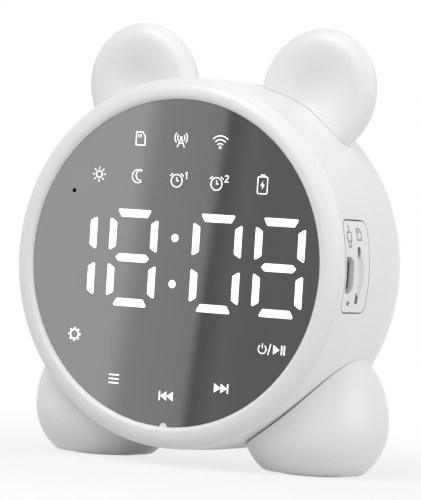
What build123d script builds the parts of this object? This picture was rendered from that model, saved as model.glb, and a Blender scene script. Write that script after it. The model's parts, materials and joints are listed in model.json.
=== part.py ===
from build123d import *
import os
from math import asin, cos, degrees, radians, sin, sqrt

# Driving sizes in millimetres. X is to the right, Y to the back and Z up, with Z = 0 on the table.
# Depths run back from the mirror's face, and heights on the face run up from its centre.
FACE_Y = -20.16
FACE_Z = 45.4

# Mirror and bezel
MIRROR_R = 36.5
MIRROR_T = 1.0
BEZEL_BORE = 36.6
BEZEL_CREST = (37.8, -1.08)
BEZEL_INNER_ROUND = 1.2
BEZEL_OUTER_ROUND = 3.8
LEDGE_BORE = 35.0
SPIGOT_R = 39.5
SPIGOT_END = 3.1
SEAM_FRONT = 0.9
TAB_R = 0.9
SNAP_BEAD = (0.2, 2.2, 0.35)
MIC_PLACE = (-26.9, 14.9)
MIC_HOLE_R = 0.5

# Barrel and rear cover
BARREL_R = 42.1
BARREL_FULL_DEPTH = 20.0
BARREL_FRONT_R = 41.6
REAR_ROUND = 16.0
REAR_ROUND_START = 25.4
SEAM_REAR = 33.4
SHELL_BORE_FRONT = 39.55
SHELL_BORE = 39.9
LAP_R = 38.9
LAP_DEPTH = 2.1
LAP_GAP = 0.06
GRILLE_RECESS_R = 21.6
GRILLE_RECESS = 0.6
GRILLE_T = 1.6
GRILLE_PITCH = 3.6
GRILLE_RINGS = 4
GRILLE_HOLE_R = 0.85

# Rear screws and their bosses
REAR_SCREW_R = 33.5
REAR_SCREW_ANGLES = (25, 155, 205, 335)
REAR_SEAT_DEPTH = 35.0
REAR_BOSS_R = 3.2
REAR_WELL_R = 2.7
REAR_SCREW_LENGTH = 10.0
REAR_BOSS_LENGTH = 13.0
REAR_PILOT_LENGTH = 11.0
REAR_RIB = (9.0, 1.6)
REAR_RIB_PLACE = 8.3
REAR_WELL_WALL = 1.1
REAR_WELL_RISE = 3.5

# Display
DIGIT_X = (-26.45, -10.7, 10.7, 26.45)
DIGIT_Z = 0.5
STROKE = 1.78
STROKE_X = 5.32
STROKE_TOP = 10.03
STROKE_LOW = 1.36
STROKE_HIGH = 8.94
BAR_LONG = 8.86
BAR_TIP = 8.75
MITRE = 1.05
STROKE_ROUND = 0.3
COLON_Z = (5.6, -4.7)
COLON_R = 0.9
MASK_R = 34.8
MASK_T = 0.2
MASK_EDGE = 0.1
KEY_R = 30.0
KEY_PITCH = 27.4
KEY_COUNT = 5
LEGEND_ROWS = ((27.4, (-10.4, 0.0, 10.0)), (18.7, (-20.6, -10.5, 0.0, 10.2, 21.2)))
LEGEND_WELL_R = 2.6
FILM_T = 0.15
FILM_TOP_Z = -12.5
FILM_BAND = (25.8, 33.6)
REFLECTOR_R = 34.6
REFLECTOR_FRONT = 1.4
DIFFUSER_BACK = 3.0
LED_CHIP = (0.8, 0.6)
MIC_CAPSULE = (2.0, 3.0)
FIT = 0.06

# Circuit board. What it carries is given by its middle, its size in x and z and its height.
BOARD_FRONT = 6.0
BOARD_T = 1.6
BOARD_R = 38.4
BOARD_BACK = BOARD_FRONT + BOARD_T
POST_PLACE_R = 36.4
POST_R = 2.2
POST_ANGLES = (45, 135, 225, 315)
PROCESSOR = (2.0, -12.0, 10.0, 6.0, 1.6)
AMPLIFIER = (17.0, -13.5, 5.0, 4.0, 1.5)
RADIO_CARD = (-4.0, -27.0, 15.0, 11.0, 0.8)
RADIO_CAN = (-2.5, -27.0, 10.0, 9.0, 2.2)
CAPACITOR_PLACE = (15.0, -24.0)
CAPACITOR_SIZE = (2.5, 5.4)
CRYSTAL = (-16.5, -20.5, 3.2, 7.0, 1.3)
BATTERY_SOCKET = (-21.0, -7.0, 7.5, 5.8, 4.2)
CHIP_LEG = (0.4, 1.0, 0.3)

# Side ports
PLATE_DEPTH = (2.5, 13.6)
PLATE_Z = (-8.45, 12.2)
PLATE_CORNER = 2.0
PLATE_GAP = 0.3
PLATE_FLANGE_R = 38.75
PLATE_FLANGE_DEPTH = (3.4, 14.6)
PLATE_FLANGE_LAP = 1.1
PORT_CUT = (30.0, 46.0)
USB_DEPTH = 4.75
USB_SLOT = (8.0, 3.15)
USB_BODY = (7.5, 2.5)
USB_X = (35.2, 40.8)
USB_WALL = 0.35
TONGUE = (0.6, 3.8)
TONGUE_ROOT = (1.2, 1.6, 4.4)
TONGUE_SET_BACK = 0.7
CARD_DEPTH = 8.75
CARD_SLOT = (12.7, 1.4)
CARD_BODY = (14.0, 1.9)
CARD_X = (23.4, 37.9)
CARD_WALL = 0.3
CARD_STOP = 1.5
CARD_RAIL = 1.2
SCOOP_END = 11.5
SCOOP_SINK = 0.9
LIGHT_PIPE_PLACE = (5.3, -6.2)
LIGHT_PIPE_R = 0.55
LIGHT_PIPE_X = (37.5, 41.0)
CHARGE_LED_X = (36.2, 37.4)
CHARGE_LED = (0.9, 1.6)

# Ears
EAR_ANGLE = 29.5
EAR_PLACE_R = 46.1
EAR_DEPTH = 21.6
EAR_R = 14.0
EAR_STRETCH = 1.06
EAR_RIM = (9.8, -3.0)
EAR_DISH = 2.6
EAR_BACK = 5.9

# Feet
FOOT_X = 27.2
FOOT_DEPTH = 21.3
FOOT_R = 16.5
FOOT_MID_Z = 11.1
FOOT_UP = 20.0
FOOT_DOWN = 14.5
FOOT_EDGE = 1.5
FOOT_SCREW_ANGLE = 40.0
PAD_R = 7.5
PAD_T = 1.2
PAD_PROUD = 0.4
SEAT_GAP = 0.05

# Screws: head radius, head height, shank radius
CASE_SCREW = (2.3, 1.5, 1.15)
SMALL_SCREW = (1.75, 1.2, 0.8)
PILOT_GAP = 0.05
LIMB_SCREW_SPREAD = 9.0
LIMB_SCREW_LENGTH = 9.0
SMALL_SCREW_LENGTH = 4.0

# Loudspeaker, facing the back
SPEAKER_FLANGE = 40.0
SPEAKER_FLANGE_CORNER = 4.0
SPEAKER_FLANGE_FRONT = 35.4
SPEAKER_FLANGE_T = 1.2
SPEAKER_SCREW_R = 24.6
BASKET_BORE = 17.6
BASKET_FOOT_R = 11.0
BASKET_FOOT_DEPTH = 27.2
BASKET_WALL = 0.8
BASKET_WINDOW = (9.0, 4.4, 11.0)
BASKET_WINDOW_R = 15.0
BASKET_WINDOW_DEPTH = 31.8
SPEAKER_POST_R = 2.4
POLE_R = 3.8
COIL_R = (4.1, 4.5)
GAP_R = 4.8
MAGNET_R = (6.5, 14.0)
MAGNET_T = 4.6
TOP_PLATE_R = 10.0
STEEL_T = 1.6
CONE_R = 14.6
CONE_WALL = 0.5
CAP_R = 5.8
CAP_RISE = 2.1
CAP_WALL = 0.4
ROLL_SKIN = 0.3
ROLL_LIP = 1.4
SPIDER_WAVES = 4
SPIDER_LEVELS = (0.9, 1.25)
SPIDER_T = 0.3
SPIDER_SKIRT = (0.5, 0.8)
GASKET_R = (17.7, 19.4)
TERMINAL_STRIP = (9.0, 0.8, 1.0)
TERMINAL_Z = -19.1

# Battery and wires
CELL_SIZE = (44.0, 5.6, 28.0)
CELL_Z = 17.0
PAD_SIZE = (36.0, 2.0, 20.0)
WIRE_R = 0.6
LEAD_X = (-22.2, -19.8)
ANTENNA_R = 0.5
ANTENNA_BEND = 3.0
ANTENNA_FOOT = (-26.0, -18.0)
ANTENNA_DEPTH = 17.0
ANTENNA_WALK = ((-36.5, -8.0), (-37.0, 8.0), (-30.5, 22.0))


def place(x, depth, z):
    return Pos(x, FACE_Y + depth, FACE_Z + z)


def around(radius, angle, depth):
    return place(radius * cos(radians(angle)), depth, radius * sin(radians(angle)))


def turned(outline):
    """A solid of revolution about the barrel's axis, from an outline in radius and depth."""
    return place(0, 0, 0) * revolve(make_face(outline), Axis.Y)


def tube(outer, bore, start, end):
    points = [(bore, start), (outer, start), (outer, end), (bore, end)]
    return turned(Polyline(*points, close=True))


def rod(radius, start, end, x=0.0, z=0.0):
    """A round bar along the depth."""
    length = end - start
    return place(x, (start + end) / 2, z) * Rot(90, 0, 0) * Cylinder(radius, length)


def block(x_span, depth_span, z_span):
    size = [high - low for low, high in (x_span, depth_span, z_span)]
    middle = [(low + high) / 2 for low, high in (x_span, depth_span, z_span)]
    return place(*middle) * Box(*size)


def plate_prism(sketch, start, end):
    """Extrudes a sketch drawn on the face, in x and height, from one depth to another."""
    upright = Plane(origin=(0, FACE_Y + start, FACE_Z), x_dir=(1, 0, 0), z_dir=(0, -1, 0))
    return extrude(upright * sketch, amount=start - end)


def side_prism(sketch, x_start, x_end):
    """Extrudes a sketch drawn on the right side, in depth and height, from one x to another."""
    upright = Plane(origin=(x_start, FACE_Y, FACE_Z), x_dir=(0, 1, 0), z_dir=(1, 0, 0))
    return extrude(upright * sketch, amount=x_end - x_start)


def screw(sizes, length):
    """A plain screw along Z: the head's underside is at 0 and the shank goes down."""
    head_r, head_h, shank_r = sizes
    head = Pos(0, 0, head_h / 2) * Cylinder(head_r, head_h)
    head = fillet(head.edges().group_by(Axis.Z)[-1], head_h * 0.35)
    return head + Pos(0, 0, -length / 2) * Cylinder(shank_r, length)


def facing_back(x, depth, z):
    return place(x, depth, z) * Rot(-90, 0, 0)


def facing_in(angle, depth, radius):
    """Turns a screw so that its shank points outwards along the barrel's radius."""
    return around(radius, angle, depth) * Rot(0, -90 - angle, 0)


def wire(points, radius=WIRE_R, bend=2.5):
    path = FilletPolyline(*[tuple(place(*p).position) for p in points], radius=bend)
    return sweep(Plane(origin=path @ 0, z_dir=path % 0) * Circle(radius), path)


def joined(shapes):
    return Compound(children=list(shapes))


# Bezel ring
def bezel_edge_angle():
    return degrees(asin((SEAM_FRONT - BEZEL_CREST[1] - BEZEL_OUTER_ROUND) / BEZEL_OUTER_ROUND))


def front_bezel():
    crest_r, crest_d = BEZEL_CREST
    inner = (crest_r, crest_d + BEZEL_INNER_ROUND)
    outer = (crest_r, crest_d + BEZEL_OUTER_ROUND)
    inner_arc = CenterArc(inner, BEZEL_INNER_ROUND, 180, 90)
    outer_arc = CenterArc(outer, BEZEL_OUTER_ROUND, 270, bezel_edge_angle() + 90)
    bead, bead_d, bead_half = SNAP_BEAD
    back = Polyline(
        outer_arc @ 1,
        (SPIGOT_R, SEAM_FRONT),
        (SPIGOT_R, bead_d - bead_half),
        (SPIGOT_R + bead, bead_d),
        (SPIGOT_R, bead_d + bead_half),
        (SPIGOT_R, SPIGOT_END),
        (LEDGE_BORE, SPIGOT_END),
        (LEDGE_BORE, MIRROR_T),
        (BEZEL_BORE, MIRROR_T),
        inner_arc @ 0,
    )
    ring = turned(inner_arc + outer_arc + back)
    ring += rod(TAB_R, 0.0, MIRROR_T, 0, -BEZEL_BORE)
    for angle in POST_ANGLES:
        spot = around(POST_PLACE_R, angle, 0).position
        x, z = spot.X, spot.Z - FACE_Z
        ring += rod(POST_R, SPIGOT_END - 0.5, BOARD_FRONT, x, z)
        ring -= rod(SMALL_SCREW[2] + PILOT_GAP, SPIGOT_END, BOARD_FRONT, x, z)
    return ring


def mirror_lens():
    disc = rod(MIRROR_R, 0, MIRROR_T)
    disc -= rod(TAB_R + FIT, -1, MIRROR_T + 1, 0, -BEZEL_BORE)
    return disc - rod(MIC_HOLE_R, -1, MIRROR_T + 1, *MIC_PLACE)


# Display behind the mirror
def stroke(kind, grow=0.0):
    """One of the seven strokes of a digit, long edge outwards, grown or shrunk all round."""
    half = STROKE / 2
    if kind == "middle":
        tip, flat = BAR_TIP / 2, BAR_TIP / 2 - half
        points = [(-tip, 0), (-flat, half), (flat, half), (tip, 0), (flat, -half), (-flat, -half)]
    elif kind in ("top", "bottom"):
        way = 1 if kind == "top" else -1
        long, short = BAR_LONG / 2, BAR_LONG / 2 - MITRE
        z_out, z_in = way * (STROKE_TOP + half), way * (STROKE_TOP - half)
        points = [(-long, z_out), (long, z_out), (short, z_in), (-short, z_in)]
    else:
        way = 1 if "right" in kind else -1
        rise = 1 if "upper" in kind else -1
        x_out, x_in = way * (STROKE_X + half), way * (STROKE_X - half)
        low, high = rise * STROKE_LOW, rise * STROKE_HIGH
        points = [(x_out, low), (x_out, high)]
        points += [(x_in, high - rise * MITRE), (x_in, low + rise * MITRE)]
    shape = make_face(Polyline(*points, close=True))
    shape = fillet(shape.vertices(), STROKE_ROUND)
    return offset(shape, grow) if grow else shape


STROKES = ("top", "upper_right", "lower_right", "bottom", "lower_left", "upper_left", "middle")
LIT = (
    ("upper_right", "lower_right"),
    STROKES,
    STROKES[:-1],
    STROKES,
)


def digit_strokes(wanted, grow=0.0):
    """The strokes of the four digits that wanted(place, kind) picks, as sketches on the face."""
    found = []
    for index, x in enumerate(DIGIT_X):
        for kind in STROKES:
            if wanted(index, kind):
                found.append(Pos(x, DIGIT_Z) * stroke(kind, grow))
    return found


def is_lit(index, kind):
    return kind in LIT[index]


def colon_dots(grow=0.0):
    return [Pos(0, z) * Circle(COLON_R + grow) for z in COLON_Z]


def legend_places():
    """Middles of the lit legends in the two rows above the digits and of the touch keys below."""
    rows = [(x, z) for z, columns in LEGEND_ROWS for x in columns]
    return rows + key_places()


def key_places():
    first = 270 - KEY_PITCH * (KEY_COUNT - 1) / 2
    angles = [radians(first + KEY_PITCH * n) for n in range(KEY_COUNT)]
    return [(KEY_R * cos(a), KEY_R * sin(a)) for a in angles]


def all_windows(grow):
    return digit_strokes(lambda index, kind: True, grow) + colon_dots(grow)


def display_mask():
    sheet = Circle(MASK_R)
    for window in all_windows(MASK_EDGE):
        sheet -= window
    sheet -= Pos(*MIC_PLACE) * Circle(MIC_HOLE_R * 2)
    return plate_prism(sheet, MIRROR_T, MIRROR_T + MASK_T)


def touch_film():
    """A curved strip of sensor film under the five keys, open where each key is lit."""
    half_turn = radians(KEY_PITCH * KEY_COUNT / 2)
    span = KEY_R * 2
    wedge = [(0, 0), (span * sin(half_turn), -span * cos(half_turn)), (0, -span * 1.6)]
    wedge.append((-wedge[1][0], wedge[1][1]))
    strip = Circle(FILM_BAND[1]) - Circle(FILM_BAND[0])
    strip &= make_face(Polyline(*wedge, close=True))
    strip -= Rectangle(2 * MASK_R, FILM_TOP_Z * -2)
    for x, z in key_places():
        strip -= Pos(x, z) * Circle(LEGEND_WELL_R)
    return plate_prism(strip, MIRROR_T + MASK_T, MIRROR_T + MASK_T + FILM_T)


def reflector_block():
    sheet = Circle(REFLECTOR_R)
    for window in all_windows(FIT):
        sheet -= window
    for x, z in legend_places():
        sheet -= Pos(x, z) * Circle(LEGEND_WELL_R)
    for angle in POST_ANGLES:
        a = radians(angle)
        sheet -= Pos(POST_PLACE_R * cos(a), POST_PLACE_R * sin(a)) * Circle(POST_R + 0.3)
    sheet -= Pos(*MIC_PLACE) * Circle(MIC_CAPSULE[0] + 0.4)
    return plate_prism(sheet, REFLECTOR_FRONT, BOARD_FRONT)


def diffusers(sketches, start=MIRROR_T):
    return joined(plate_prism(s, start, DIFFUSER_BACK) for s in sketches)


def lit_segments():
    return diffusers(digit_strokes(is_lit))


def dark_segments():
    return diffusers(digit_strokes(lambda index, kind: not is_lit(index, kind)))


def legend_diffusers():
    discs = [Pos(x, z) * Circle(LEGEND_WELL_R - FIT) for x, z in legend_places()]
    return diffusers(discs, REFLECTOR_FRONT)


def stroke_middles():
    middle = (STROKE_LOW + STROKE_HIGH) / 2
    spots = [(0, STROKE_TOP), (0, -STROKE_TOP), (0, 0)]
    return spots + [(x, z) for x in (-STROKE_X, STROKE_X) for z in (-middle, middle)]


def led_chips():
    spots = [(x + dx, DIGIT_Z + dz) for x in DIGIT_X for dx, dz in stroke_middles()]
    spots += [(0, z) for z in COLON_Z] + legend_places()
    size, height = LED_CHIP
    chip = Box(size, height, size)
    return joined(place(x, BOARD_FRONT - height / 2, z) * chip for x, z in spots)


def microphone():
    radius, height = MIC_CAPSULE
    return rod(radius, BOARD_FRONT - height, BOARD_FRONT, *MIC_PLACE)


# Circuit board and what it carries
def main_board():
    disc = rod(BOARD_R, BOARD_FRONT, BOARD_BACK)
    for angle in POST_ANGLES:
        spot = around(POST_PLACE_R, angle, 0).position
        disc -= rod(SMALL_SCREW[2] + 0.2, 0, 20, spot.X, spot.Z - FACE_Z)
    return disc


def on_board(x, z, size_x, size_z, height):
    half_x, half_z = size_x / 2, size_z / 2
    depth = (BOARD_BACK, BOARD_BACK + height)
    return block((x - half_x, x + half_x), depth, (z - half_z, z + half_z))


def chip_with_legs(sizes, legs):
    """A moulded chip with gull legs along its two long sides, lying on the board."""
    x, z, size_x, size_z, height = sizes
    body = on_board(x, z, size_x, size_z, height)
    body = chamfer(body.edges().filter_by(Axis.Y), 0.2)
    step = size_x / legs
    share, reach, thick = CHIP_LEG
    for n in range(legs):
        leg_x = x - size_x / 2 + step * (n + 0.5)
        body += on_board(leg_x, z, step * share, size_z + 2 * reach, thick)
    return body


def radio_module():
    return on_board(*RADIO_CARD) + on_board(*RADIO_CAN)


def buffer_capacitor():
    radius, height = CAPACITOR_SIZE
    can = rod(radius, BOARD_BACK, BOARD_BACK + height, *CAPACITOR_PLACE)
    return fillet(can.edges().sort_by(Axis.Y)[-1], 0.4)


def crystal():
    can = on_board(*CRYSTAL)
    return fillet(can.edges().filter_by(Axis.Y), 1.2)


def socket_outline(width, height, cut):
    """A mouth with its long edge to the front and slanted corners to the rear."""
    half, front = width / 2, USB_DEPTH - height / 2
    rear = front + height
    points = [(front, -half), (front, half), (rear - cut, half), (rear, half - cut)]
    points += [(d, -z) for d, z in reversed(points[2:])]
    return make_face(Polyline(*points, close=True))


def usb_socket():
    x_back, x_mouth = USB_X
    width, height = USB_BODY
    shell = side_prism(socket_outline(width, height, 1.0), x_back, x_mouth)
    bore = socket_outline(width - 2 * USB_WALL, height - 2 * USB_WALL, 0.85)
    return shell - side_prism(bore, x_back + USB_WALL, x_mouth + 1)


def usb_tongue():
    x_back, x_mouth = USB_X
    x_root = x_back + USB_WALL
    root_length, *root_section = TONGUE_ROOT
    x_tip = x_mouth - TONGUE_SET_BACK
    root = side_prism(Pos(USB_DEPTH, 0) * Rectangle(*root_section), x_root, x_root + root_length)
    return root + side_prism(Pos(USB_DEPTH, 0) * Rectangle(*TONGUE), x_root + root_length, x_tip)


def card_socket():
    width, height = CARD_BODY
    half = width / 2
    shell = block(CARD_X, (BOARD_BACK, BOARD_BACK + height), (-half, half))
    inner = (BOARD_BACK + CARD_WALL, BOARD_BACK + height - CARD_WALL)
    inner_half = half - CARD_RAIL
    return shell - block((CARD_X[0] + CARD_STOP, CARD_X[1] + 1), inner, (-inner_half, inner_half))


def charge_led():
    z = LIGHT_PIPE_PLACE[1]
    height, width = CHARGE_LED
    rows = (z - width / 2, z + width / 2)
    return block(CHARGE_LED_X, (BOARD_FRONT - height, BOARD_FRONT), rows)


def battery_socket():
    """A plug housing open towards the battery."""
    x, z, size_x, size_z, height = BATTERY_SOCKET
    wall = 0.6
    mouth = block(
        (x - size_x / 2 + wall, x + size_x / 2 - wall),
        (BOARD_BACK + 1.0, BOARD_BACK + height - wall),
        (z - size_z / 2 + wall, z + size_z),
    )
    return on_board(*BATTERY_SOCKET) - mouth


# Barrel
def barrel_outer_arcs():
    crest_r, crest_d = BEZEL_CREST
    edge = bezel_edge_angle()
    front = CenterArc((crest_r, crest_d + BEZEL_OUTER_ROUND), BEZEL_OUTER_ROUND, edge, -edge)
    swell = TangentArc((BARREL_R, BARREL_FULL_DEPTH), front @ 1, tangent=(0, -1))
    side = Line((BARREL_R, BARREL_FULL_DEPTH), (BARREL_R, REAR_ROUND_START))
    return front, swell, side


def rear_arc(radius, start, size):
    return CenterArc((BARREL_R - REAR_ROUND, REAR_ROUND_START), radius, start, size)


def rear_seam_angle():
    return degrees(asin((SEAM_REAR - REAR_ROUND_START) / REAR_ROUND))


def body_shell():
    front, swell, side = barrel_outer_arcs()
    rear = rear_arc(REAR_ROUND, 0, rear_seam_angle())
    inner_r = SHELL_BORE - (BARREL_R - REAR_ROUND)
    lap_start = SEAM_REAR - LAP_DEPTH
    lap_angle = degrees(asin((lap_start - REAR_ROUND_START) / inner_r))
    inner_arc = rear_arc(inner_r, lap_angle, -lap_angle)
    lap = Polyline(rear @ 1, (LAP_R, SEAM_REAR), (LAP_R, lap_start), inner_arc @ 0)
    bead, bead_d, bead_half = SNAP_BEAD
    groove_half = bead_half + FIT
    bore = Polyline(
        inner_arc @ 1,
        (SHELL_BORE, SPIGOT_END + 2.5),
        (SHELL_BORE_FRONT, SPIGOT_END + 0.2),
        (SHELL_BORE_FRONT, bead_d + groove_half),
        (SHELL_BORE_FRONT + bead, bead_d),
        (SHELL_BORE_FRONT, bead_d - groove_half),
        (SHELL_BORE_FRONT, SEAM_FRONT),
        front @ 0,
    )
    shell = turned(front + swell + side + rear + lap + inner_arc + bore)
    shell -= port_opening(0.0)
    for angle in REAR_SCREW_ANGLES:
        shell += rear_boss(angle)
        x, z = rear_spot(angle)
        shell -= rod(CASE_SCREW[2] + PILOT_GAP, SEAM_REAR - REAR_PILOT_LENGTH, SEAM_REAR + 1, x, z)
    for angle, depth in limb_screws():
        shell -= facing_in(angle, depth, SHELL_BORE) * Cylinder(CASE_SCREW[2] + 0.15, 12)
    return shell


def rear_spot(angle):
    a = radians(angle)
    return REAR_SCREW_R * cos(a), REAR_SCREW_R * sin(a)


def rear_boss(angle):
    """A screw column on a rib from the barrel's wall."""
    x, z = rear_spot(angle)
    column = rod(REAR_BOSS_R, SEAM_REAR - REAR_BOSS_LENGTH, SEAM_REAR - 0.1, x, z)
    rib_reach = SHELL_BORE - REAR_SCREW_R + 1.0
    rib = Rot(0, -angle, 0) * Box(rib_reach, *REAR_RIB)
    rib = around(REAR_SCREW_R + rib_reach / 2, angle, SEAM_REAR - REAR_RIB_PLACE) * rib
    return column + rib


def port_opening(inset):
    """The window for the port plate, through the right side of the barrel."""
    size = (PLATE_DEPTH[1] - PLATE_DEPTH[0] - 2 * inset, PLATE_Z[1] - PLATE_Z[0] - 2 * inset)
    middle = (sum(PLATE_DEPTH) / 2, sum(PLATE_Z) / 2)
    outline = Pos(*middle) * RectangleRounded(*size, PLATE_CORNER - inset)
    return side_prism(outline, *PORT_CUT)


def barrel_wall(bore):
    """The barrel's wall near the ports, from the outer curve in to the given bore."""
    front, swell, side = barrel_outer_arcs()
    rest = Polyline(side @ 1, (bore, REAR_ROUND_START), (bore, SEAM_FRONT), front @ 0)
    return turned(front + swell + side + rest)


def port_plate():
    """A curved insert in the barrel's window, on a flange that bears on the wall from inside."""
    window = port_opening(PLATE_GAP)
    plate = barrel_wall(SHELL_BORE_FRONT + 0.3) & window
    plate += tube(SHELL_BORE_FRONT + 0.5, PLATE_FLANGE_R, *PLATE_FLANGE_DEPTH) & window
    low, high = PLATE_Z
    flange = tube(SHELL_BORE_FRONT - FIT, PLATE_FLANGE_R, *PLATE_FLANGE_DEPTH)
    flange &= block(PORT_CUT, PLATE_FLANGE_DEPTH, (low - PLATE_FLANGE_LAP, high + PLATE_FLANGE_LAP))
    plate += flange
    plate -= side_prism(socket_outline(*USB_SLOT, 1.1), *PORT_CUT)
    card_slot = Pos(CARD_DEPTH, 0) * RectangleRounded(CARD_SLOT[1], CARD_SLOT[0], 0.65)
    plate -= side_prism(card_slot, *PORT_CUT)
    depth, z = LIGHT_PIPE_PLACE
    plate -= side_prism(Pos(depth, z) * Circle(LIGHT_PIPE_R + FIT / 2), *PORT_CUT)
    return plate - card_scoop()


def card_scoop():
    """A lens-shaped finger scoop with a flat floor, behind the card slot."""
    start, half = CARD_DEPTH, CARD_SLOT[0] / 2
    bow = ThreePointArc((start, half), (SCOOP_END, 0), (start, -half))
    lens = make_face(bow + Line((start, -half), (start, half)))
    return side_prism(lens, BARREL_FRONT_R - SCOOP_SINK, BARREL_R + 1)


def charge_light_pipe():
    depth, z = LIGHT_PIPE_PLACE
    return side_prism(Pos(depth, z) * Circle(LIGHT_PIPE_R), *LIGHT_PIPE_X)


# Rear cover with its grille
def grille_spots():
    spots = [(0.0, 0.0)]
    for ring in range(1, GRILLE_RINGS + 1):
        for n in range(6 * ring):
            a = radians(360 * n / (6 * ring))
            spots.append((ring * GRILLE_PITCH * cos(a), ring * GRILLE_PITCH * sin(a)))
    return spots


def rear_cover():
    seam = rear_seam_angle()
    outer = rear_arc(REAR_ROUND, seam, 90 - seam)
    back = REAR_ROUND_START + REAR_ROUND
    panel = back - GRILLE_RECESS
    centre_r = BARREL_R - REAR_ROUND
    inner_r = panel - GRILLE_T - REAR_ROUND_START
    tongue_bore = LAP_R - 1.3
    tongue_angle = degrees(asin(sqrt(1 - ((tongue_bore - centre_r) / inner_r) ** 2)))
    inner = rear_arc(inner_r, 90, tongue_angle - 90)
    top = Polyline(
        outer @ 1,
        (GRILLE_RECESS_R + GRILLE_RECESS, back),
        (GRILLE_RECESS_R, panel),
        (0, panel),
        (0, panel - GRILLE_T),
        inner @ 0,
    )
    tongue_end = SEAM_REAR - LAP_DEPTH + LAP_GAP
    tongue = Polyline(
        inner @ 1,
        (tongue_bore, tongue_end),
        (LAP_R - LAP_GAP, tongue_end),
        (LAP_R - LAP_GAP, SEAM_REAR),
        outer @ 0,
    )
    cover = turned(outer + top + inner + tongue)
    for angle in REAR_SCREW_ANGLES:
        x, z = rear_spot(angle)
        well = rod(REAR_WELL_R + REAR_WELL_WALL, SEAM_REAR, REAR_SEAT_DEPTH + REAR_WELL_RISE, x, z)
        cover += well
        cover -= rod(REAR_WELL_R, REAR_SEAT_DEPTH, back + 1, x, z)
        cover -= rod(CASE_SCREW[2] + 0.2, SEAM_REAR - 1, back, x, z)
    for angle in POST_ANGLES:
        a = radians(angle)
        x, z = SPEAKER_SCREW_R * cos(a), SPEAKER_SCREW_R * sin(a)
        post_start = SPEAKER_FLANGE_FRONT + SPEAKER_FLANGE_T
        cover += rod(SPEAKER_POST_R, post_start, panel - GRILLE_T + 0.2, x, z)
        cover -= rod(SMALL_SCREW[2] + PILOT_GAP, SPEAKER_FLANGE_FRONT, panel - 0.8, x, z)
    holes = [Pos(x, z) * Circle(GRILLE_HOLE_R) for x, z in grille_spots()]
    return cover - plate_prism(Sketch(children=holes), panel - GRILLE_T - 1, panel + 1)


# Loudspeaker
def speaker_frame():
    flange_back = SPEAKER_FLANGE_FRONT + SPEAKER_FLANGE_T
    square = RectangleRounded(SPEAKER_FLANGE, SPEAKER_FLANGE, SPEAKER_FLANGE_CORNER)
    for angle in POST_ANGLES:
        a = radians(angle)
        hole = Circle(SMALL_SCREW[2] + 0.2)
        square -= Pos(SPEAKER_SCREW_R * cos(a), SPEAKER_SCREW_R * sin(a)) * hole
    square -= Circle(BASKET_BORE)
    frame = plate_prism(square, SPEAKER_FLANGE_FRONT, flange_back)
    basket = turned(Polyline(
        (BASKET_BORE, SPEAKER_FLANGE_FRONT + 0.4),
        (BASKET_BORE, SPEAKER_FLANGE_FRONT - 1.0),
        (BASKET_FOOT_R - BASKET_WALL, BASKET_FOOT_DEPTH + BASKET_WALL),
        (GAP_R + 0.6, BASKET_FOOT_DEPTH + BASKET_WALL),
        (GAP_R + 0.6, BASKET_FOOT_DEPTH),
        (BASKET_FOOT_R, BASKET_FOOT_DEPTH),
        (BASKET_BORE + BASKET_WALL, SPEAKER_FLANGE_FRONT - 1.0),
        (BASKET_BORE + BASKET_WALL, SPEAKER_FLANGE_FRONT + 0.4),
        close=True,
    ))
    for angle in (0, 90, 180, 270):
        window = Rot(0, -angle, 0) * Box(*BASKET_WINDOW)
        basket -= around(BASKET_WINDOW_R, angle, BASKET_WINDOW_DEPTH) * window
    return frame + basket


def speaker_top_plate():
    return tube(TOP_PLATE_R, GAP_R, BASKET_FOOT_DEPTH - STEEL_T, BASKET_FOOT_DEPTH)


def speaker_magnet():
    back = BASKET_FOOT_DEPTH - STEEL_T
    return tube(MAGNET_R[1], MAGNET_R[0], back - MAGNET_T, back)


def speaker_yoke():
    magnet_front = BASKET_FOOT_DEPTH - STEEL_T - MAGNET_T
    disc = rod(MAGNET_R[1] - 1.0, magnet_front - STEEL_T, magnet_front)
    return disc + rod(POLE_R, magnet_front, BASKET_FOOT_DEPTH)


CONE_NECK = BASKET_FOOT_DEPTH + 3.2
CONE_MOUTH = SPEAKER_FLANGE_FRONT - 0.4


def voice_coil():
    return tube(COIL_R[1], COIL_R[0], BASKET_FOOT_DEPTH - 2.6, CONE_NECK)


def speaker_cone():
    neck = COIL_R[0]
    bulge = ((neck + CONE_R) / 2 + 0.8, (CONE_NECK + CONE_MOUTH) / 2 - 0.9)
    under = ThreePointArc((neck, CONE_NECK), bulge, (CONE_R, CONE_MOUTH))
    raised = (bulge[0], bulge[1] + CONE_WALL)
    over = ThreePointArc((CONE_R, CONE_MOUTH + CONE_WALL), raised, (neck, CONE_NECK + CONE_WALL))
    return turned(under + Line(under @ 1, over @ 0) + over + Line(over @ 1, under @ 0))


def dust_cap():
    """A thin ball-shaped cap over the voice coil."""
    rim = CONE_NECK + CONE_WALL + 0.35
    ball = (CAP_R**2 + CAP_RISE**2) / (2 * CAP_RISE)
    centre = (0, rim + CAP_RISE - ball)
    inner = ball - CAP_WALL
    rim_angle = degrees(asin((ball - CAP_RISE) / ball))
    inner_angle = degrees(asin((ball - CAP_RISE) / inner))
    over = CenterArc(centre, ball, rim_angle, 90 - rim_angle)
    under = CenterArc(centre, inner, inner_angle, 90 - inner_angle)
    return turned(over + Line(over @ 1, under @ 1) + under + Line(under @ 0, over @ 0))


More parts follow.
